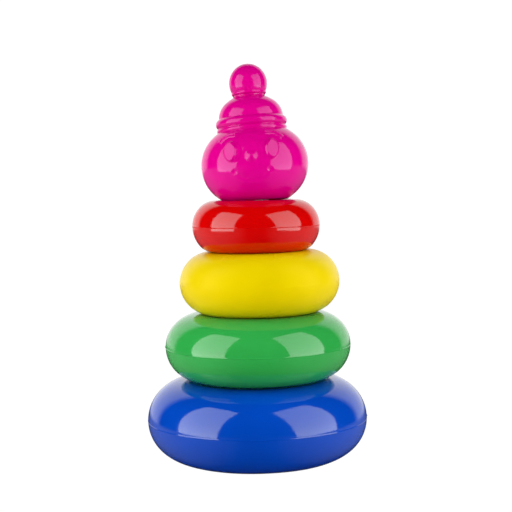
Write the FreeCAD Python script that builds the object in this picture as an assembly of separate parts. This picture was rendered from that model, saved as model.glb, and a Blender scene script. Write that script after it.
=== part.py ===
import FreeCAD, Part
import math
import os

# A stacking toy: four hollow rings and a doll's head, threaded on a tapered post with a foot.
# Millimetres, +Z up. The origin is the middle of the foot's underside, and the face looks along -Y.
# Every ring and the head is moulded as two shells that lap at a glued seam.

V = FreeCAD.Vector

# Moulding
WALL = 1.6              # thickness of every hollow shell
LIP_HEIGHT = 2.0        # how far one shell's lip reaches into the other at a seam
BIG = 400.0             # a size beyond everything, for cutting

# Rings, from the bottom up. outer: largest radius. top_crown and bottom_crown: radii of the
# section's highest and lowest points. rise and drop: how far those are over and under the seam.
# equator: height of the seam. shift: how far the ring sits off the post's axis, along +X.
RINGS = {
    "blue_ring": {"outer": 63.9, "top_crown": 39.5, "bottom_crown": 39.3, "rise": 23.4,
                  "drop": 23.3, "equator": 23.5, "shift": 0.0},
    "green_ring": {"outer": 53.8, "top_crown": 33.6, "bottom_crown": 34.2, "rise": 19.3,
                   "drop": 19.3, "equator": 66.2, "shift": 1.1},
    "yellow_ring": {"outer": 46.4, "top_crown": 28.9, "bottom_crown": 28.6, "rise": 17.9,
                    "drop": 17.8, "equator": 103.4, "shift": 2.6},
    "red_ring": {"outer": 37.0, "top_crown": 22.9, "bottom_crown": 26.0, "rise": 14.8,
                 "drop": 14.7, "equator": 136.2, "shift": 1.1},
}
BORE_RADIUS = 14.5      # the same hole through every ring

# Foot and post
FOOT_RADIUS = 29.5
FOOT_EDGE = 1.6         # height of the foot's upright edge
COLLAR_RADIUS = 13.9
COLLAR_FOOT = 17.0      # radius where the foot's cone meets the collar's fillet
CONE_TOP = 6.5
COLLAR_TOP = 19.0
SOCKET_FLOOR = 2.4      # thickness of the foot below the post
POST_FOOT_RADIUS = 11.9
POST_TOP_RADIUS = 8.5
POST_TOP = 181.8
POST_WALL = 1.8
CAP_RISE = 3.5          # how far the cap's dome stands over the post
CAP_PLUG = 8.0          # how far the cap's plug goes down the post

# Head, in its own frame: the origin is the ball's centre and +Z runs up through the hat.
BALL_RADIUS = 31.0
BALL_HALF_HEIGHT = 25.5
BALL_BASE = -21.0       # the flat that is cut off the ball's underside
BRIM = {"centre": 15.2, "height": 24.4, "reach": 5.4, "half_height": 3.7}
BRIM_RIDGE = {"centre": 15.4, "height": 20.5, "reach": 4.8, "half_height": 2.1}
COLLAR = {"centre": 8.4, "height": 41.4, "reach": 1.5, "half_height": 0.9}
DOME_RADIUS = 18.6
DOME_HALF_HEIGHT = 14.2
DOME_BASE = 27.0
DOME_TOP = 39.6
NECK_RADIUS = 8.7
POMPOM_RADIUS = 10.9
POMPOM_HALF_HEIGHT = 11.4
POMPOM_HEIGHT = 47.2
SLEEVE_RADIUS = 13.0    # inside of the sleeve that drops over the post
SLEEVE_WALL = 1.6
SLEEVE_TOP = 17.0
SLEEVE_ROOF = 2.0
HEAD_AT = V(0.95, 0.9, 171.1)
HEAD_LEAN = 3.7         # degrees towards -X
HEAD_BACK = 3.5         # degrees towards +Y
HEAD_TURN = 3.0         # degrees that the face looks towards -X

# Face, as sideways and upward places on the ball
EYE_SIDE = 11.0
EYE_HEIGHT = 7.0
EYE_HALF_WIDTH = 4.8
EYE_HALF_HEIGHT = 6.3
EYE_PROUD = 0.7
PUPIL_HALF_WIDTH = 2.9
PUPIL_HALF_HEIGHT = 4.6
PUPIL_PROUD = 1.3
BROW_RADIUS = 9.4
BROW_THICKNESS = 0.8
BROW_START = 48.0
BROW_END = 110.0
NOSE_HEIGHT = 3.6
NOSE_RADIUS = 3.2
SMILE_SIDE = 10.0
SMILE_CORNER = -4.8
SMILE_BOTTOM = -10.0
SMILE_GROOVE = 0.6
DIMPLE_RADIUS = 1.0


def rectangle(left, bottom, right, top):
    """A flat face in the drawing plane, where X is the radius and Y is the height."""
    corners = [V(left, bottom, 0), V(right, bottom, 0), V(right, top, 0), V(left, top, 0)]
    return Part.Face(Part.makePolygon(corners + corners[:1]))


def polygon(points):
    """A flat face with straight sides."""
    corners = [V(x, y, 0) for x, y in points]
    return Part.Face(Part.makePolygon(corners + corners[:1]))


def quarter(middle, reach, rise):
    """Two tangent arcs, from the crown of an oval to its side. reach and rise carry their signs."""
    across = abs(reach)
    upward = abs(rise)
    diagonal = math.hypot(across, upward)
    side = diagonal * (diagonal - across + upward) / (2 * across)
    crown = diagonal * (diagonal + across - upward) / (2 * upward)
    meeting = math.atan2(crown - upward, across - side)
    if side > crown:
        meeting = math.atan2(upward - crown, side - across)
    signs = V(math.copysign(1, reach), math.copysign(1, rise), 0)

    def arc(centre, radius, start, finish):
        points = []
        for angle in (start, (start + finish) / 2, finish):
            spot = centre + V(math.cos(angle), math.sin(angle), 0) * radius
            points.append(middle + V(spot.x * signs.x, spot.y * signs.y, 0))
        return Part.Arc(*points).toShape()

    return [arc(V(0, upward - crown, 0), crown, math.pi / 2, meeting),
            arc(V(across - side, 0, 0), side, meeting, 0)]


def arcs_face(edges):
    """The flat face inside arcs that join end to end."""
    return Part.Face(Part.Wire(Part.sortEdges(edges)[0]))


def oval(centre, height, reach, half_height):
    """A flat oval face."""
    edges = []
    for across in (reach, -reach):
        for upward in (half_height, -half_height):
            edges += quarter(V(centre, height, 0), across, upward)
    return arcs_face(edges)


def turned(face):
    """The solid that a drawn face makes when it is turned about the Z axis."""
    upright = Part.Shell(face.Faces).removeSplitter()
    upright.rotate(V(0, 0, 0), V(1, 0, 0), 90)
    solids = [piece.revolve(V(0, 0, 0), V(0, 0, 1), 360) for piece in upright.Faces]
    return solids[0].fuse(solids[1:]) if solids[1:] else solids[0]


def only_solid(shape):
    """The one solid of a shape, checked."""
    solids = shape.removeSplitter().Solids
    if len(solids) != 1:
        raise ValueError("expected one solid, got %d" % len(solids))
    return solids[0]


# ---- rings ----

def ring_section(ring, inset):
    """The ring's closed section, drawn in from its surface by inset."""
    edges = []
    for crown, upward in ((ring["top_crown"], ring["rise"] - inset),
                          (ring["bottom_crown"], inset - ring["drop"])):
        for across in (ring["outer"] - crown - inset, BORE_RADIUS - crown + inset):
            edges += quarter(V(crown, 0, 0), across, upward)
    return arcs_face(edges)


def ring_shells(ring):
    """The upper and the lower shell of a ring, in place."""
    wall = ring_section(ring, 0.0).cut(ring_section(ring, WALL))
    lip = ring_section(ring, WALL / 2).cut(ring_section(ring, WALL))
    lip = lip.common(rectangle(0, 0, BIG, LIP_HEIGHT))
    upper = wall.common(rectangle(0, 0, BIG, BIG)).cut(lip)
    lower = wall.common(rectangle(0, -BIG, BIG, 0))
    shells = []
    for solid in (turned(upper), turned(lower).fuse(turned(lip))):
        solid = only_solid(solid)
        solid.translate(V(ring["shift"], 0, ring["equator"]))
        shells.append(solid)
    return shells


# ---- foot and post ----

def foot():
    """A disc with a collar that holds the post, inside the hollow under the lowest ring."""
    outline = polygon([(0, 0), (FOOT_RADIUS, 0), (FOOT_RADIUS, FOOT_EDGE), (COLLAR_FOOT, CONE_TOP),
                       (COLLAR_RADIUS, CONE_TOP + COLLAR_FOOT - COLLAR_RADIUS),
                       (COLLAR_RADIUS, COLLAR_TOP), (0, COLLAR_TOP)])
    socket = rectangle(0, SOCKET_FLOOR, POST_FOOT_RADIUS, COLLAR_TOP)
    return only_solid(turned(outline.cut(socket)))


def post():
    """A tube that is straight in the foot's collar and tapers above it."""
    inner_foot = POST_FOOT_RADIUS - POST_WALL
    inner_top = POST_TOP_RADIUS - POST_WALL
    outline = polygon([(inner_foot, SOCKET_FLOOR), (POST_FOOT_RADIUS, SOCKET_FLOOR),
                       (POST_FOOT_RADIUS, COLLAR_TOP), (POST_TOP_RADIUS, POST_TOP),
                       (inner_top, POST_TOP), (inner_top, POST_TOP - CAP_PLUG),
                       (inner_foot, COLLAR_TOP)])
    return only_solid(turned(outline))


def post_cap():
    """A plug with a low dome that closes the post's top."""
    dome = oval(0, POST_TOP, POST_TOP_RADIUS, CAP_RISE).common(rectangle(0, POST_TOP, BIG, BIG))
    plug = rectangle(0, POST_TOP - CAP_PLUG, POST_TOP_RADIUS - POST_WALL, POST_TOP)
    return only_solid(turned(dome.fuse(plug)))


# ---- head ----

def head_outline(inset):
    """Half of the head's section, drawn in from its surface by inset, with no face on it."""
    brim = [oval(part["centre"], part["height"], part["reach"] - inset, part["half_height"] - inset)
            for part in (BRIM, BRIM_RIDGE)]
    dome = oval(0, DOME_BASE, DOME_RADIUS - inset, DOME_HALF_HEIGHT - inset)
    dome = dome.common(rectangle(0, DOME_BASE - DOME_HALF_HEIGHT, BIG, DOME_TOP - inset))
    pompom = oval(0, POMPOM_HEIGHT, POMPOM_RADIUS - inset, POMPOM_HALF_HEIGHT - inset)
    neck = rectangle(0, DOME_BASE, NECK_RADIUS - inset, POMPOM_HEIGHT)
    ball = oval(0, 0, BALL_RADIUS - inset, BALL_HALF_HEIGHT - inset)
    collar = [] if inset else [oval(*COLLAR.values())]
    whole = ball.fuse(brim + collar + [dome, pompom, neck])
    return whole.common(rectangle(0, BALL_BASE + inset, BIG, BIG))


def ball_point(side, height):
    """The point on the front of the ball at a sideways place and a height."""
    rest = 1.0 - (side / BALL_RADIUS) ** 2 - (height / BALL_HALF_HEIGHT) ** 2
    return V(side, -BALL_RADIUS * math.sqrt(rest), height)


def outward_at(point):
    """The ball's outward direction at a point on it."""
    normal = V(point.x / BALL_RADIUS ** 2, point.y / BALL_RADIUS ** 2,
               point.z / BALL_HALF_HEIGHT ** 2)
    return normal.normalize()


def set_on_ball(solid, side, height, sink):
    """Puts a solid that was made round +Z on the ball, with its Y axis upright."""
    point = ball_point(side, height)
    outward = outward_at(point)
    sideways = V(0, 0, 1).cross(outward).normalize()
    upward = outward.cross(sideways)
    turn = FreeCAD.Rotation(sideways, upward, outward, "ZXY")
    placed = solid.copy()
    placed.Placement = FreeCAD.Placement(point - outward * sink, turn)
    return placed


def oval_boss(half_width, half_height, proud):
    """A shallow oval dome round +Z that stands proud by the given height."""
    depth = 3 * proud
    ball = Part.makeSphere(1.0)
    stretch = FreeCAD.Matrix()
    stretch.scale(half_width, half_height, depth)
    ball = ball.transformGeometry(stretch)
    ball.translate(V(0, 0, proud - depth))
    return ball


def brow(mirror):
    """An arched ridge round an eye's centre."""
    sweep = BROW_END - BROW_START
    start = BROW_START if mirror > 0 else 180.0 - BROW_END
    ridge = Part.makeTorus(BROW_RADIUS, BROW_THICKNESS, V(0, 0, 0), V(0, 0, 1), 0, 360, sweep)
    ridge.rotate(V(0, 0, 0), V(0, 0, 1), start)
    return ridge


def smile_tools():
    """The groove of the smile and a dimple at each of its ends, to be cut from the face."""
    drop = SMILE_CORNER - SMILE_BOTTOM
    radius = (SMILE_SIDE ** 2 + drop ** 2) / (2 * drop)
    half_angle = math.degrees(math.asin(SMILE_SIDE / radius))
    depth = ball_point(0, SMILE_BOTTOM).y
    groove = Part.makeTorus(radius, SMILE_GROOVE, V(0, 0, 0), V(0, 0, 1), 0, 360, 2 * half_angle)
    groove.rotate(V(0, 0, 0), V(0, 0, 1), -90 - half_angle)
    groove.rotate(V(0, 0, 0), V(1, 0, 0), 90)
    groove.translate(V(0, depth, SMILE_BOTTOM + radius))
    dimples = [Part.makeSphere(DIMPLE_RADIUS, ball_point(side, SMILE_CORNER))
               for side in (-SMILE_SIDE, SMILE_SIDE)]
    return [groove] + dimples


def face_bosses():
    """Eyes, brows and nose."""
    bosses = [Part.makeSphere(NOSE_RADIUS, ball_point(0, NOSE_HEIGHT))]
    eye = oval_boss(EYE_HALF_WIDTH, EYE_HALF_HEIGHT, EYE_PROUD)
    pupil = oval_boss(PUPIL_HALF_WIDTH, PUPIL_HALF_HEIGHT, PUPIL_PROUD)
    brow_sink = BROW_RADIUS ** 2 / (2 * BALL_RADIUS)
    for mirror in (-1, 1):
        side = mirror * EYE_SIDE
        bosses.append(set_on_ball(eye, side, EYE_HEIGHT, 0))
        bosses.append(set_on_ball(pupil, side, EYE_HEIGHT, 0))
        bosses.append(set_on_ball(brow(mirror), side, EYE_HEIGHT, brow_sink))
    return bosses


def place_head(shape):
    """Moves a piece from the head's own frame to its place on the post."""
    placed = shape.copy()
    placed.rotate(V(0, 0, 0), V(0, 0, 1), -HEAD_TURN)
    placed.rotate(V(0, 0, 0), V(0, 1, 0), -HEAD_LEAN)
    placed.rotate(V(0, 0, 0), V(1, 0, 0), -HEAD_BACK)
    placed.translate(HEAD_AT)
    return placed


def head_shells():
    """The front shell, with the face, and the back shell, in place."""
    cavity = turned(head_outline(WALL))
    hole = Part.makeCylinder(SLEEVE_RADIUS + SLEEVE_WALL, BIG, V(0, 0, BALL_BASE - BIG / 2))
    hole = hole.common(Part.makeBox(BIG, BIG, BIG, V(-BIG / 2, -BIG / 2, -BIG)))
    wall = turned(head_outline(0.0)).cut([cavity, hole])
    lip = turned(head_outline(WALL / 2)).cut([cavity, hole])
    lip = lip.common(Part.makeBox(BIG, LIP_HEIGHT, BIG, V(-BIG / 2, 0, -BIG / 2)))
    front = wall.common(Part.makeBox(BIG, BIG, BIG, V(-BIG / 2, -BIG, -BIG / 2)))
    back = wall.common(Part.makeBox(BIG, BIG, BIG, V(-BIG / 2, 0, -BIG / 2))).cut(lip)
    front = front.fuse([lip] + [boss.cut(cavity) for boss in face_bosses()]).cut(smile_tools())
    return [place_head(only_solid(front)), place_head(only_solid(back))]


def head_sleeve():
    """The sleeve inside the head, closed at its top, that drops over the post and rests on it."""
    outside = rectangle(0, BALL_BASE, SLEEVE_RADIUS + SLEEVE_WALL, SLEEVE_TOP)
    inside = rectangle(0, BALL_BASE, SLEEVE_RADIUS, SLEEVE_TOP - SLEEVE_ROOF)
    return place_head(only_solid(turned(outside.cut(inside))))


def build():
    """Every piece's shape, by the name of its node."""
    parts = {"foot": foot(), "post": post(), "post_cap": post_cap()}
    for name, ring in RINGS.items():
        parts[name + "_upper"], parts[name + "_lower"] = ring_shells(ring)
    parts["head_front"], parts["head_back"] = head_shells()
    parts["head_sleeve"] = head_sleeve()
    return parts


os.makedirs("parts", exist_ok=True)
for node, shape in build().items():
    shape.exportStep("parts/" + node + ".step")
    print(node, "volume", round(shape.Volume), "valid", shape.isValid())
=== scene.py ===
import math

import bpy
from mathutils import Matrix, Vector, noise


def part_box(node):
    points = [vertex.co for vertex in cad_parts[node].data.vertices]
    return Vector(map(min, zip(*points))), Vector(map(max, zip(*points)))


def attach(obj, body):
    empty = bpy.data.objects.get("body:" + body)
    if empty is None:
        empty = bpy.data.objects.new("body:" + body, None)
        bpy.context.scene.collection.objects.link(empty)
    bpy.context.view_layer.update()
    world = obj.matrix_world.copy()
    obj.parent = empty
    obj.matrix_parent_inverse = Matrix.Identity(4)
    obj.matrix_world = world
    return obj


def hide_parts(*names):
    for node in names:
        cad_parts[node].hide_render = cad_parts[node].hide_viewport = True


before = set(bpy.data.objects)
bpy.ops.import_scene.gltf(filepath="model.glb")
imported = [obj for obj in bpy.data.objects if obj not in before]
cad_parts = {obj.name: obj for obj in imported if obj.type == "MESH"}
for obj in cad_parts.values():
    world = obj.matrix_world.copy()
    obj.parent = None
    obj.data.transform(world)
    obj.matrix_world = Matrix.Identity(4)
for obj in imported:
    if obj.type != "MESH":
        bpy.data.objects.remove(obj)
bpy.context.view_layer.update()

# The looks of a stacking toy: four hollow plastic rings and a doll's head on a hidden post.
# Metres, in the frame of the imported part. MM turns millimetres into metres.
MM = 0.001

# Moulding
WALL = 1.6 * MM
LIP_HEIGHT = 2.0 * MM
BORE_RADIUS = 14.5 * MM
HEAD_FLASH = 0.112 * MM         # the bead of plastic along the head's seam
FLASH_WIDTH = 0.24 * MM
WAVE_HEIGHT = 0.07 * MM         # how unevenly a moulded skin swells
WAVE_LENGTH = 26 * MM
SHARP = math.radians(35)

# Rings: the radii of each section's highest and lowest points, the angle of its feed nub, how far
# its underside sags on to the ring under it, its slight lean towards -X in radians, and how high
# its flash stands
RINGS = {
    "blue_ring": {"top": 39.5 * MM, "bottom": 39.3 * MM, "nub": 0.0,
                  "sag": 0.0, "lean": 0.0, "flash": 0.16 * MM, "slot": "blue_plastic"},
    "green_ring": {"top": 33.6 * MM, "bottom": 34.2 * MM, "nub": math.pi,
                   "sag": 0.17 * MM, "lean": 0.0036, "flash": 0.16 * MM,
                   "slot": "green_plastic"},
    "yellow_ring": {"top": 28.9 * MM, "bottom": 28.6 * MM, "nub": None,
                    "sag": 0.34 * MM, "lean": 0.0104, "flash": 0.03 * MM,
                    "slot": "yellow_plastic"},
    "red_ring": {"top": 22.9 * MM, "bottom": 24.7 * MM, "nub": None,
                 "sag": 0.49 * MM, "lean": 0.0, "flash": 0.16 * MM, "slot": "red_plastic"},
}
CROWN_SWELL = 0.09 * MM         # how much higher a ring's top is than the CAD's
NUB_HEIGHT = 0.5 * MM
NUB_WIDTH = 0.8 * MM
NUB_COLUMN = 0.25 * MM          # the spacing of the mesh's columns beside a nub
NUB_COLUMNS = 9                 # how many of them there are on each side of it
RING_COLUMNS = 240
SEAM_HEIGHTS = [0.0, 0.07, 0.14, 0.22, 0.32, 0.45, 0.7, 1.1, 1.7]   # rows beside a seam, in mm
INNER_ROWS = 24                 # rows round the inside of a shell
FLASH_UNEVEN = (0.75, 0.5, 6.0)         # the flash's usual share, how far that swings, and how often
BORE_FADE = (-0.2, 0.4)         # from the bore's plain skin to the uneven one, as cosines of the facing
OUTER_TURNS = (5.0, 2.5, 35)    # the section's other rows: first direction, step and count, in degrees
BORE_TURNS = (95.0, 5.0, 16)

# Head, in its own frame: the origin is the ball's centre and +Z runs up through the hat.
BALL = (0.0, 0.0, 31.0 * MM, 25.5 * MM)                 # centre, height, reach, half height
BRIM = (15.2 * MM, 24.4 * MM, 5.4 * MM, 3.7 * MM)
RIDGE = (15.4 * MM, 20.5 * MM, 4.8 * MM, 2.1 * MM)
DOME = (0.0, 27.0 * MM, 18.6 * MM, 14.2 * MM)
DOME_TOP = 39.6 * MM
COLLAR = (8.4 * MM, 41.4 * MM, 1.5 * MM, 0.9 * MM)
POMPOM = (0.0, 47.2 * MM, 10.9 * MM, 11.4 * MM)
NECK_RADIUS = 8.7 * MM
BALL_BASE = -21.0 * MM
HOLE_RADIUS = 14.6 * MM
FILLET = 0.16 * MM                                      # softness of the head's creases
HEAD_ROWS = 240
HEAD_SAMPLES = 6000
HEAD_FLASH_FADE = 4.0 * MM                              # the flash dies out this near the axis
HEAD_SEAM_COLUMNS = [0.0, 0.35, 0.7, 1.1, 1.7, 2.6, 4.0]        # beside a seam, in degrees
FRONT_COLUMNS = (28.0, 0.9, 3.0)        # where the fine columns start, their step, the coarse step
BACK_COLUMNS = (90.0, 4.0, 4.0)
HEAD_AT = Vector((0.95, 0.9, 171.1)) * MM
HEAD_TURN = math.radians(3.0)
HEAD_LEAN = math.radians(3.7)
HEAD_BACK = math.radians(3.5)

# Face, as sideways and upward places on the ball. Each _EDGE and _FADE is where a shape ends.
FACE_HALF_HEIGHT = 19.5 * MM
FACE_FADE = (-0.2, -0.35)               # shares of the ball's reach, towards the front
EYE = (10.5 * MM, 6.5 * MM)
EYE_HALF = (5.0 * MM, 5.9 * MM)
EYE_EDGE = (1.04, 0.96)                 # shares of the eye
EYE_STEP = 0.25 * MM
EYE_RISE = 0.45 * MM
PUPIL_SIDE = 11.6 * MM
PUPIL_HALF = (2.8 * MM, 4.4 * MM)
PUPIL_EDGE = 1.34                       # a share of the pupil
PUPIL_RISE = 0.5 * MM
PUPIL_TILT = math.tan(math.radians(4.0))
BROW_RADII = (8.6 * MM, 10.1 * MM)      # from the pupil's middle, at the brow's two ends
BROW_GAP = 1.5 * MM                     # between the brow's two ridges
BROW_HALF_WIDTH = 0.55 * MM
BROW_RISE = 0.45 * MM
BROW_START = math.radians(45)
BROW_END = math.radians(112)
BROW_FADE = 0.1                         # radians
NOSE_HEIGHT = 3.0 * MM
NOSE_RADIUS = 3.9 * MM
NOSE_RISE = 1.5 * MM
SMILE_SIDE = 10.0 * MM
SMILE_CORNER = -4.8 * MM
SMILE_BOTTOM = -10.0 * MM
SMILE_DEPTH = 0.13 * MM
SMILE_WIDTH = 0.7 * MM
SMILE_FADE = (1.0 * MM, -0.5 * MM)      # past the smile's corner
LIP_DROP = 1.8 * MM                     # from the smile's groove to the middle of the lower lip
LIP_WIDTH = 1.4 * MM
LIP_RISE = 0.13 * MM
DIMPLE_RADIUS = 1.3 * MM
DIMPLE_DEPTH = 0.3 * MM
DIMPLE_RIM_RADIUS = 2.0 * MM
DIMPLE_RIM_WIDTH = 0.7 * MM
DIMPLE_RIM_RISE = 0.12 * MM

# Plastics. colour: the pigment. tint: of the reflections. ior: 1.5 where none is given.
PLASTICS = {
    "white_plastic": {"colour": (0.78, 0.78, 0.75), "tint": (1, 1, 1), "roughness": 0.18},
    "blue_plastic": {"colour": (0.0, 0.052, 0.42), "tint": (1, 1, 0.8), "roughness": 0.08},
    "green_plastic": {"colour": (0.025, 0.335, 0.058), "tint": (1, 1, 1), "roughness": 0.08},
    "yellow_plastic": {"colour": (0.71, 0.54, 0.0), "tint": (0.6, 0.5, 0.0), "roughness": 0.3,
                       "ior": 1.3},
    "red_plastic": {"colour": (0.57, 0.0, 0.0), "tint": (0.7, 1, 1), "roughness": 0.08},
    "magenta_plastic": {"colour": (0.67, 0.0, 0.235), "tint": (0.5, 0.75, 1), "roughness": 0.09,
                        "ior": 1.4},
}
CLOUD_SCALE = 22.0
CLOUD_RANGE = (0.3, 0.7)                # the noise values between which the pigment changes
CLOUD_SHADES = (0.93, 1.06)             # the darkest and lightest pigment, as shares of the colour
CLOUD_GLOSS = (0.8, 1.2)                # shares of the roughness
SCUFF_STRETCH = (90, 90, 1400)
SCUFF_RANGE = (0.62, 0.8)
SCUFF_ROUGHNESS = 0.08
PEEL = {"scale": 900.0, "strength": 0.25, "depth": 0.02 * MM}
DENTS = {"scale": 130.0, "strength": 0.3, "depth": 0.15 * MM}

# Camera and studio
CAMERA_AT = Vector((0.8, -716.0, 168.3)) * MM
CAMERA_PITCH = math.radians(4.0)
CAMERA_ROLL = math.radians(1.0)
LENS = 86.84
SENSOR = 36.0
FLOOR_SIZE = 6.0
FLOOR_WHITE = (0.1, 1.0)                # the seen floor's albedo and glow
BOUNCE = 0.65           # how much light the floor throws back up
AMBIENT = 0.25          # the room's even light
ROOM_GLOW = 1.1         # how bright the camera sees the room, and reflections see its far side
DARK_GLOW = 0.01        # how bright reflections see the rest of it
BACKDROP_FADE = (0.5, 0.64)             # from the dark rest to the bright far side
FLOOR_FADE = (0.25, 0.9)                # from the floor's dark middle to its bright sides
FLOOR_GLOW = (0.02, 0.47)
HORIZON_FADE = (-0.05, -0.12)           # how far under the horizon the floor starts
SOFTBOX_HEIGHTS = (0.0, 0.45)           # a softbox dims from its foot up to its top
SOFTBOX_TOP_SHARE = 0.7
SOFTBOX_SPAN = (0.2, 0.75)              # and brightens sideways, away from the toy
SOFTBOX_SIDE_SHARES = (0.78, 1.12)
LEFT_SOFTBOX = [(-1.0, -0.08, -0.08), (-0.65, -0.76, -0.1),
                (-0.12, -0.22, 0.42), (-0.26, -0.02, 0.42)]
RIGHT_SOFTBOX = [(1.0, -0.08, -0.08), (0.62, -0.78, -0.1),
                 (0.1, -0.24, 0.42), (0.26, -0.02, 0.44)]
BACK_FILL = [(-1.0, 1.1, 0.0), (1.0, 1.1, 0.0), (1.0, 1.1, 0.7), (-1.0, 1.1, 0.7)]
LEFT_STRENGTH = 4.85
RIGHT_STRENGTH = 4.25
BACK_STRENGTH = 2.4


# ---- small helpers ----

def smooth_step(low, high, value):
    """0 below low, 1 above high, and an even curve between. low may be the larger one."""
    share = min(max((value - low) / (high - low), 0.0), 1.0)
    return share * share * (3.0 - 2.0 * share)


def bell(value, width):
    """A smooth peak of height 1 at 0, and nearly 0 from twice its width."""
    return math.exp(-(value / width) ** 2)


def swell(point):
    """How far a moulded skin stands out at a point, from uneven shrinkage."""
    return WAVE_HEIGHT * noise.noise(point / WAVE_LENGTH)


def add_piece(name, points, faces, slot, body, node):
    """A closed, smooth shaded piece that stands for a CAD node."""
    mesh = bpy.data.meshes.new(name)
    mesh.from_pydata(points, [], faces)
    mesh.shade_smooth()
    mesh.set_sharp_from_angle(angle=SHARP)
    mesh.materials.append(MATERIALS[slot])
    piece = bpy.data.objects.new(name, mesh)
    bpy.context.scene.collection.objects.link(piece)
    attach(piece, body)
    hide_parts(node)
    return piece


# ---- ovals of four tangent arcs ----

def arc_radii(reach, rise):
    """The radii of the side arc and the crown arc, and the angle where they meet."""
    diagonal = math.hypot(reach, rise)
    side = diagonal * (diagonal - reach + rise) / (2 * reach)
    crown = diagonal * (diagonal + reach - rise) / (2 * rise)
    if side > crown:
        return side, crown, math.atan2(rise - crown, side - reach)
    return side, crown, math.atan2(crown - rise, reach - side)


def oval_point(reach, rise, turn):
    """The point of a quarter oval whose surface faces along turn, from 0 to a right angle."""
    side, crown, meeting = arc_radii(reach, rise)
    if turn < meeting:
        return reach - side + side * math.cos(turn), side * math.sin(turn)
    return crown * math.cos(turn), rise - crown + crown * math.sin(turn)


def oval_radius(oval, height, inset):
    """How far from the axis an oval reaches at a height, or 0 where it doesn't."""
    centre, middle, reach, rise = oval
    reach -= inset
    rise -= inset
    offset = abs(height - middle)
    if offset >= rise:
        return 0.0
    side, crown, meeting = arc_radii(reach, rise)
    if offset < side * math.sin(meeting):
        return centre + reach - side + math.sqrt(side ** 2 - offset ** 2)
    return centre + math.sqrt(crown ** 2 - (offset - rise + crown) ** 2)


# ---- materials ----

def new_material(name):
    """A node material, with its nodes and links."""
    material = bpy.data.materials.new(name)
    material.use_nodes = True
    return material, material.node_tree.nodes, material.node_tree.links


def calculated(nodes, links, operation, *values):
    """The result of a sum, a product or another operation on values."""
    step = nodes.new("ShaderNodeMath")
    step.operation = operation
    for value, socket in zip(values, step.inputs):
        links.new(value, socket)
    return step.outputs["Value"]


def mixed_value(nodes, links, factor, first, second):
    """A mix of two values by a factor."""
    mix = nodes.new("ShaderNodeMix")
    links.new(factor, mix.inputs[0])
    links.new(first, mix.inputs[2])
    links.new(second, mix.inputs[3])
    return mix.outputs[0]


def mixed_colour(nodes, links, factor, first, second):
    """A mix of two colours by a factor that varies over the surface."""
    mix = nodes.new("ShaderNodeMix")
    mix.data_type = "RGBA"
    links.new(factor, mix.inputs[0])
    mix.inputs[6].default_value = (*first, 1.0)
    mix.inputs[7].default_value = (*second, 1.0)
    return mix.outputs[2]


def noise_field(nodes, links, coordinates, scale, detail):
    """A noise texture over the object's own coordinates."""
    texture = nodes.new("ShaderNodeTexNoise")
    texture.inputs["Scale"].default_value = scale
    texture.inputs["Detail"].default_value = detail
    links.new(coordinates, texture.inputs["Vector"])
    return texture.outputs["Fac"]


def stretched(nodes, links, coordinates, scale):
    """Coordinates squeezed unevenly, for marks that run along one direction."""
    mapping = nodes.new("ShaderNodeMapping")
    mapping.inputs["Scale"].default_value = scale
    links.new(coordinates, mapping.inputs["Vector"])
    return mapping.outputs["Vector"]


def remapped(nodes, links, value, from_range, to_range):
    """A value brought from one range to another, and held inside it."""
    span = nodes.new("ShaderNodeMapRange")
    span.inputs["From Min"].default_value = from_range[0]
    span.inputs["From Max"].default_value = from_range[1]
    span.inputs["To Min"].default_value = to_range[0]
    span.inputs["To Max"].default_value = to_range[1]
    links.new(value, span.inputs["Value"])
    return span.outputs["Result"]


def bumped(nodes, links, where, bump, normal=None):
    """A noisy relief in the shading, over the surface or over another relief."""
    relief = nodes.new("ShaderNodeBump")
    relief.inputs["Strength"].default_value = bump["strength"]
    relief.inputs["Distance"].default_value = bump["depth"]
    links.new(noise_field(nodes, links, where, bump["scale"], detail=1.0), relief.inputs["Height"])
    if normal is not None:
        links.new(normal, relief.inputs["Normal"])
    return relief.outputs["Normal"]


def plastic(name, colour, tint, roughness, ior=1.5):
    """Glossy moulded plastic: clouded pigment, an orange-peel skin and faint handling scuffs."""
    material, nodes, links = new_material(name)
    shader = nodes["Principled BSDF"]
    shader.inputs["IOR"].default_value = ior
    shader.inputs["Specular Tint"].default_value = (*tint, 1.0)
    where = nodes.new("ShaderNodeTexCoord").outputs["Object"]

    clouds = noise_field(nodes, links, where, CLOUD_SCALE, detail=3.0)
    cloud_share = remapped(nodes, links, clouds, CLOUD_RANGE, (0.0, 1.0))
    deeper = [channel * CLOUD_SHADES[0] for channel in colour]
    lighter = [min(channel * CLOUD_SHADES[1], 1.0) for channel in colour]
    links.new(mixed_colour(nodes, links, cloud_share, deeper, lighter), shader.inputs["Base Color"])

    along = stretched(nodes, links, where, SCUFF_STRETCH)
    scuffs = noise_field(nodes, links, along, scale=1.0, detail=4.0)
    gloss_range = [roughness * share for share in CLOUD_GLOSS]
    gloss = calculated(nodes, links, "ADD",
                       remapped(nodes, links, clouds, CLOUD_RANGE, gloss_range),
                       remapped(nodes, links, scuffs, SCUFF_RANGE, (0.0, SCUFF_ROUGHNESS)))
    links.new(gloss, shader.inputs["Roughness"])

    peel = bumped(nodes, links, where, PEEL)
    links.new(bumped(nodes, links, where, DENTS, peel), shader.inputs["Normal"])
    return material


MATERIALS = {name: plastic(name, **look) for name, look in PLASTICS.items()}


# ---- rings ----

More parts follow.
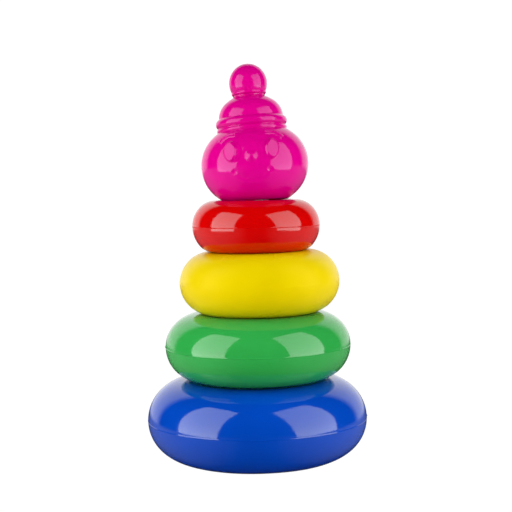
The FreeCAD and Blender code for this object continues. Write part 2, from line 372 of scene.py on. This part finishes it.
class Ring:
    """A ring's sizes, from the boxes of its two shells and from RINGS."""

    def __init__(self, name, facts):
        low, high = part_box(name + "_upper")
        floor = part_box(name + "_lower")[0][2]
        self.outer = (high[0] - low[0]) / 2
        self.middle = Vector(((high[0] + low[0]) / 2, (high[1] + low[1]) / 2, low[2]))
        self.upper = (facts["top"], high[2] - low[2] + CROWN_SWELL)
        self.lower = (facts["bottom"], low[2] - floor + facts["sag"])
        self.nub = facts["nub"]
        self.flash = facts["flash"]
        self.pose = Matrix.Translation(self.middle) @ Matrix.Rotation(-facts["lean"], 4, "Y")

    def quarter(self, turn):
        """The crown, reach and rise of the quarter of the section that faces along turn."""
        crown, rise = self.upper if math.sin(turn) >= 0 else self.lower
        reach = self.outer - crown if math.cos(turn) >= 0 else crown - BORE_RADIUS
        return crown, reach, rise

    def turn_at(self, height, inner_side):
        """The direction that the section faces at a small height over or under the seam."""
        towards = math.pi * (0.75 if inner_side else 0.25)
        crown, reach, rise = self.quarter(math.copysign(towards, height))
        turn = math.asin(abs(height) / arc_radii(reach, rise)[0])
        return math.copysign(math.pi - turn if inner_side else turn, height)

    def section_point(self, turn, depth):
        """A point of the section, as radius and height, under its skin by depth."""
        crown, reach, rise = self.quarter(turn)
        steep = math.atan2(abs(math.sin(turn)), abs(math.cos(turn)))
        across, upward = oval_point(reach, rise, steep)
        radius = crown + math.copysign(across, math.cos(turn)) - depth * math.cos(turn)
        return radius, math.copysign(upward, math.sin(turn)) - depth * math.sin(turn)

    def skin_rise(self, point, angle, height):
        """How far the skin stands out from the plain section: flash, nub and unevenness."""
        usual, swing, often = FLASH_UNEVEN
        place = Vector((math.cos(angle), math.sin(angle), self.outer)) * often
        uneven = usual + swing * noise.noise(place)
        rise = self.flash * uneven * bell(height, FLASH_WIDTH) + swell(point + self.middle)
        if self.nub is not None:
            away = self.outer * math.remainder(angle - self.nub, 2 * math.pi)
            rise += NUB_HEIGHT * bell(math.hypot(away, height), NUB_WIDTH)
        return rise


def skin_turns(ring, sign):
    """Directions round the upper or lower half of the section, close together beside the seam."""
    turns = [ring.turn_at(sign * height * MM, False) for height in SEAM_HEIGHTS]
    for first, spacing, count in (OUTER_TURNS, BORE_TURNS):
        turns += [sign * math.radians(first + spacing * step) for step in range(count)]
    turns += [ring.turn_at(sign * height * MM, True) for height in reversed(SEAM_HEIGHTS)]
    return turns


def shell_profile(ring, upper):
    """The closed section of one shell, as (turn, depth) pairs that run anticlockwise."""
    lip_out = ring.turn_at(LIP_HEIGHT, False)
    lip_in = ring.turn_at(LIP_HEIGHT, True)
    half = WALL / 2
    steps = INNER_ROWS
    if upper:
        profile = [(turn, 0.0) for turn in skin_turns(ring, 1)]
        profile += [(math.pi, half), (lip_in, half)]
        profile += [(lip_in + (lip_out - lip_in) * step / steps, WALL) for step in range(steps + 1)]
        profile += [(lip_out, half), (0.0, half)]
        return profile
    profile = [(turn, 0.0) for turn in skin_turns(ring, -1)]
    profile += [(math.pi, half), (lip_in, half), (lip_in, WALL), (math.pi, WALL)]
    profile += [(-math.pi * (1 - step / steps), WALL) for step in range(1, steps)]
    profile += [(0.0, WALL), (lip_out, WALL), (lip_out, half), (0.0, half)]
    return list(reversed(profile))


def ring_angles(ring):
    """The angles of the mesh's columns, closer together at the nub and never doubled."""
    angles = {2 * math.pi * step / RING_COLUMNS for step in range(RING_COLUMNS)}
    if ring.nub is not None:
        fine = NUB_COLUMN / ring.outer
        steps = range(-NUB_COLUMNS, NUB_COLUMNS + 1)
        angles |= {(ring.nub + fine * step) % (2 * math.pi) for step in steps}
    return sorted({round(angle, 9) for angle in angles})


def ring_shell(name, ring, upper, slot):
    """One shell of a ring: a closed lathed mesh with its half of the seam's flash."""
    profile = shell_profile(ring, upper)
    angles = ring_angles(ring)
    points = []
    for turn, depth in profile:
        radius, height = ring.section_point(turn, depth)
        for angle in angles:
            outward = Vector((math.cos(angle), math.sin(angle), 0.0))
            point = outward * radius + Vector((0, 0, height))
            if depth == 0.0:
                facing = outward * math.cos(turn) + Vector((0, 0, math.sin(turn)))
                outer_side = smooth_step(*BORE_FADE, math.cos(turn))
                point += facing * ring.skin_rise(point, angle, height) * outer_side
            points.append(ring.pose @ point)
    faces = []
    columns = len(angles)
    for row in range(len(profile)):
        start = row * columns
        above = (row + 1) % len(profile) * columns
        for column in range(columns):
            beside = (column + 1) % columns
            faces.append((start + column, start + beside, above + beside, above + column))
    shell = "upper" if upper else "lower"
    add_piece(name + "_" + shell + "_skin", points, faces, slot, name, name + "_" + shell)


def add_rings():
    """The eight shells of the four rings."""
    for name, facts in RINGS.items():
        ring = Ring(name, facts)
        for upper in (True, False):
            ring_shell(name, ring, upper, facts["slot"])


# ---- head ----

def head_radius(height, inset):
    """The head's radius at a height: its ovals, joined with soft creases."""
    parts = [oval_radius(oval, height, inset) for oval in (BALL, BRIM, RIDGE, COLLAR, POMPOM)
             if oval[3] > inset]
    if height < DOME_TOP - inset:
        parts.append(oval_radius(DOME, height, inset))
    if DOME[1] < height < POMPOM[1]:
        parts.append(NECK_RADIUS - inset)
    largest = max(parts)
    return largest + FILLET * math.log(sum(math.exp((part - largest) / FILLET) for part in parts))


def head_profile(inset):
    """Evenly spaced points up the head's section, from the hole in its base to the top."""
    base = BALL_BASE + inset
    top = POMPOM[1] + POMPOM[3] - inset
    outline = [(HOLE_RADIUS, base)]
    for step in range(HEAD_SAMPLES):
        height = base + (top - base) * (1 - (1 - step / HEAD_SAMPLES) ** 2)
        outline.append((head_radius(height, inset), height))
    outline.append((0.0, top))
    lengths = [0.0]
    for first, second in zip(outline, outline[1:]):
        lengths.append(lengths[-1] + math.dist(first, second))
    profile = []
    place = 0
    for row in range(HEAD_ROWS):
        target = lengths[-1] * row / (HEAD_ROWS - 1)
        while place < len(lengths) - 2 and lengths[place + 1] < target:
            place += 1
        share = (target - lengths[place]) / (lengths[place + 1] - lengths[place])
        first, second = outline[place], outline[place + 1]
        profile.append([a + (b - a) * share for a, b in zip(first, second)])
    return profile


def eye_relief(side, height):
    """An eye: a low dome, a raised pupil with a flat face, and a brow of two ridges."""
    across = side - EYE[0]
    upward = height - EYE[1]
    edge = math.hypot(across / EYE_HALF[0], upward / EYE_HALF[1])
    relief = smooth_step(*EYE_EDGE, edge) * (EYE_STEP + EYE_RISE * max(1 - edge ** 2, 0.0))
    across = side - PUPIL_SIDE
    away = math.hypot(across, upward)
    pupil = math.hypot(across / PUPIL_HALF[0], upward / PUPIL_HALF[1])
    flat_face = EYE_STEP + EYE_RISE + PUPIL_RISE + away ** 2 / (2 * BALL[2]) - PUPIL_TILT * across
    relief += (flat_face - relief) * smooth_step(PUPIL_EDGE, 1.0, pupil)
    angle = math.atan2(upward, across)
    ends = smooth_step(BROW_START - BROW_FADE, BROW_START + BROW_FADE, angle)
    ends *= smooth_step(BROW_END + BROW_FADE, BROW_END - BROW_FADE, angle)
    along = (angle - BROW_START) / (BROW_END - BROW_START)
    middle = BROW_RADII[0] + (BROW_RADII[1] - BROW_RADII[0]) * along
    for shift in (-BROW_GAP / 2, BROW_GAP / 2):
        relief += ends * BROW_RISE * smooth_step(BROW_HALF_WIDTH, 0.0, abs(away - middle - shift))
    return relief


def nose_relief(side, height):
    """A round nose that blends into the face."""
    share = (side / NOSE_RADIUS) ** 2 + ((height - NOSE_HEIGHT) / NOSE_RADIUS) ** 2
    return NOSE_RISE * max(1 - share, 0.0) ** 2


def mouth_relief(side, height):
    """A smile: a groove along an arc, a soft lip under it, and a pit at its corner."""
    drop = SMILE_CORNER - SMILE_BOTTOM
    radius = (SMILE_SIDE ** 2 + drop ** 2) / (2 * drop)
    away = math.hypot(side, height - SMILE_BOTTOM - radius) - radius
    ends = smooth_step(SMILE_SIDE + SMILE_FADE[0], SMILE_SIDE + SMILE_FADE[1], side)
    groove = SMILE_DEPTH * bell(away, SMILE_WIDTH)
    lip = LIP_RISE * bell(away - LIP_DROP, LIP_WIDTH)
    corner = math.hypot(side - SMILE_SIDE, height - SMILE_CORNER)
    pit = DIMPLE_DEPTH * bell(corner, DIMPLE_RADIUS)
    rim = DIMPLE_RIM_RISE * bell(corner - DIMPLE_RIM_RADIUS, DIMPLE_RIM_WIDTH)
    return (lip - groove) * ends + (rim - pit)


def face_relief(point):
    """How far the face stands out from the plain ball at a point in the head's own frame."""
    if point.y >= 0 or abs(point.z) > FACE_HALF_HEIGHT:
        return 0.0
    side = abs(point.x)
    front = smooth_step(*FACE_FADE, point.y / BALL[2])
    relief = eye_relief(side, point.z) + nose_relief(side, point.z) + mouth_relief(side, point.z)
    return relief * front


def seam_columns(fine_from, fine_step, coarse_step):
    """Angles across one half of the head, close at its seams and over its middle."""
    quarter = list(HEAD_SEAM_COLUMNS)
    while quarter[-1] + coarse_step < fine_from:
        quarter.append(quarter[-1] + coarse_step)
    steps = round((90 - quarter[-1]) / fine_step)
    start = quarter[-1]
    quarter += [start + (90 - start) * step / steps for step in range(1, steps + 1)]
    return quarter + [180 - angle for angle in reversed(quarter[:-1])]


def head_point(radius, height, facing, angle, is_skin):
    """A point of the head's outer skin or of the inside of its wall, in the head's own frame."""
    outward = Vector((math.cos(angle), math.sin(angle), 0.0))
    point = outward * radius + Vector((0, 0, height))
    if not is_skin:
        return point
    normal = outward * facing[0] + Vector((0, 0, facing[1]))
    rise = face_relief(point) + swell(point + HEAD_AT)
    rise += HEAD_FLASH * bell(point.y, FLASH_WIDTH) * smooth_step(0.0, HEAD_FLASH_FADE, radius)
    return point + normal * rise


def profile_facings(profile):
    """The outward direction at each point of a profile, as its radial and upward shares."""
    facings = []
    for row in range(len(profile)):
        before = profile[max(row - 1, 0)]
        after = profile[min(row + 1, len(profile) - 1)]
        along = Vector((after[0] - before[0], after[1] - before[1])).normalized()
        facings.append((along.y, -along.x))
    return facings


def head_shell(name, start, columns, placement):
    """Half of the head as a closed shell: outer skin, inner skin, and the walls between."""
    angles = [start + math.radians(column) for column in columns]
    count = len(angles)
    rows = HEAD_ROWS - 1
    points = []
    for inset in (0.0, WALL):
        profile = head_profile(inset)
        facings = profile_facings(profile)
        for (radius, height), facing in zip(profile[:-1], facings):
            for angle in angles:
                points.append(placement @ head_point(radius, height, facing, angle, inset == 0.0))
        points.append(placement @ Vector((0, 0, profile[-1][1])))
    layer = rows * count + 1
    faces = []
    for row in range(rows - 1):
        for column in range(count - 1):
            low = row * count + column
            quad = (low, low + 1, low + 1 + count, low + count)
            faces.append(quad)
            faces.append(tuple(corner + layer for corner in reversed(quad)))
    last = (rows - 1) * count
    for column in range(count - 1):
        fan = (last + column, last + column + 1, layer - 1)
        faces.append(fan)
        faces.append(tuple(corner + layer for corner in reversed(fan)))
        faces.append((column + 1, column, column + layer, column + 1 + layer))
    for edge, step in ((0, 1), (count - 1, -1)):
        ladder = [row * count + edge for row in range(rows)] + [layer - 1]
        for low, high in zip(ladder, ladder[1:]):
            quad = (low, high, high + layer, low + layer)
            faces.append(quad[::step])
    add_piece(name + "_skin", points, faces, "magenta_plastic", "head", name)


def add_head():
    """The face half and the back half, leaning and turned as they sit on the post."""
    turn = Matrix.Rotation(-HEAD_TURN, 4, "Z")
    lean = Matrix.Rotation(-HEAD_LEAN, 4, "Y")
    back = Matrix.Rotation(-HEAD_BACK, 4, "X")
    placement = Matrix.Translation(HEAD_AT) @ back @ lean @ turn
    head_shell("head_front", math.pi, seam_columns(*FRONT_COLUMNS), placement)
    head_shell("head_back", 0.0, seam_columns(*BACK_COLUMNS), placement)


# ---- pieces that keep their CAD shape ----

def dress_cad_nodes():
    """Gives the pieces inside the toy their plastics."""
    for node in ("foot", "post", "post_cap"):
        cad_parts[node].material_slots[0].material = MATERIALS["white_plastic"]
    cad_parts["head_sleeve"].material_slots[0].material = MATERIALS["magenta_plastic"]


# ---- studio ----

def add_camera():
    """The camera, a little above the toy's middle and looking slightly down."""
    camera = bpy.data.objects.new("camera", bpy.data.cameras.new("camera"))
    camera.data.lens = LENS
    camera.data.sensor_width = SENSOR
    camera.data.clip_start = 0.01
    tilt = Matrix.Rotation(math.pi / 2 - CAMERA_PITCH, 4, "X")
    roll = Matrix.Rotation(-CAMERA_ROLL, 4, "Z")
    camera.matrix_world = Matrix.Translation(CAMERA_AT) @ tilt @ roll
    bpy.context.scene.collection.objects.link(camera)
    bpy.context.scene.camera = camera


def add_sheet(name, corners, material):
    """A flat four-cornered piece of the stage."""
    mesh = bpy.data.meshes.new(name)
    mesh.from_pydata([Vector(corner) for corner in corners], [], [(0, 1, 2, 3)])
    mesh.materials.append(material)
    sheet = bpy.data.objects.new(name, mesh)
    bpy.context.scene.collection.objects.link(sheet)
    return sheet


def add_softbox(name, corners, strength):
    """A glowing sheet that the camera doesn't see, brighter at its foot and at its outer ends."""
    material, nodes, links = new_material(name)
    nodes.remove(nodes["Principled BSDF"])
    split = nodes.new("ShaderNodeSeparateXYZ")
    links.new(nodes.new("ShaderNodeTexCoord").outputs["Object"], split.inputs[0])
    fade = remapped(nodes, links, split.outputs["Z"], SOFTBOX_HEIGHTS,
                    (strength, strength * SOFTBOX_TOP_SHARE))
    sideways = calculated(nodes, links, "ABSOLUTE", split.outputs["X"])
    share = remapped(nodes, links, sideways, SOFTBOX_SPAN, SOFTBOX_SIDE_SHARES)
    light = nodes.new("ShaderNodeEmission")
    links.new(calculated(nodes, links, "MULTIPLY", fade, share), light.inputs["Strength"])
    links.new(light.outputs[0], nodes["Material Output"].inputs["Surface"])
    softbox = add_sheet(name, corners, material)
    softbox.visible_camera = False
    softbox.visible_shadow = False
    return softbox


def pale(name, albedo, glow):
    """A matt white that may glow by itself."""
    material, nodes, links = new_material(name)
    shader = nodes["Principled BSDF"]
    shader.inputs["Base Color"].default_value = (albedo, albedo, albedo, 1)
    shader.inputs["Roughness"].default_value = 1.0
    shader.inputs["Specular IOR Level"].default_value = 0.0
    shader.inputs["Emission Color"].default_value = (1, 1, 1, 1)
    shader.inputs["Emission Strength"].default_value = glow
    return material


def add_floor():
    """A white floor in two sheets: one for the camera to see, one that throws light back up."""
    half = FLOOR_SIZE / 2
    corners = [(-half, -half, 0), (half, -half, 0), (half, half, 0), (-half, half, 0)]
    seen = add_sheet("floor", corners, pale("floor", *FLOOR_WHITE))
    seen.visible_glossy = False
    seen.visible_diffuse = False
    seen.visible_shadow = False
    bounce = add_sheet("floor_bounce", corners, pale("floor_bounce", BOUNCE, 0.0))
    bounce.visible_camera = False
    bounce.visible_glossy = False


def add_world():
    """An even white room. In reflections only its far side and the sides of its floor glow."""
    world = bpy.data.worlds.new("studio")
    bpy.context.scene.world = world
    world.use_nodes = True
    nodes = world.node_tree.nodes
    links = world.node_tree.links
    split = nodes.new("ShaderNodeSeparateXYZ")
    links.new(nodes.new("ShaderNodeTexCoord").outputs["Generated"], split.inputs[0])
    backdrop = remapped(nodes, links, split.outputs["Y"], BACKDROP_FADE, (DARK_GLOW, ROOM_GLOW))
    sideways = calculated(nodes, links, "ABSOLUTE", split.outputs["X"])
    floor_glow = remapped(nodes, links, sideways, FLOOR_FADE, FLOOR_GLOW)
    below = remapped(nodes, links, split.outputs["Z"], HORIZON_FADE, (0.0, 1.0))
    mirror = mixed_value(nodes, links, below, backdrop, floor_glow)
    path = nodes.new("ShaderNodeLightPath")
    seen = remapped(nodes, links, path.outputs["Is Camera Ray"], (0, 1), (AMBIENT, ROOM_GLOW))
    strength = mixed_value(nodes, links, path.outputs["Is Glossy Ray"], seen, mirror)
    links.new(strength, nodes["Background"].inputs["Strength"])
    nodes["Background"].inputs["Color"].default_value = (1, 1, 1, 1)


def add_studio():
    """The camera, the floor, the room and the lights."""
    add_camera()
    add_floor()
    add_world()
    add_softbox("left_softbox", LEFT_SOFTBOX, LEFT_STRENGTH)
    add_softbox("right_softbox", RIGHT_SOFTBOX, RIGHT_STRENGTH)
    back_fill = add_softbox("back_fill", BACK_FILL, BACK_STRENGTH)
    back_fill.visible_glossy = False
    bpy.context.scene.view_settings.view_transform = "Standard"


add_rings()
add_head()
dress_cad_nodes()
add_studio()
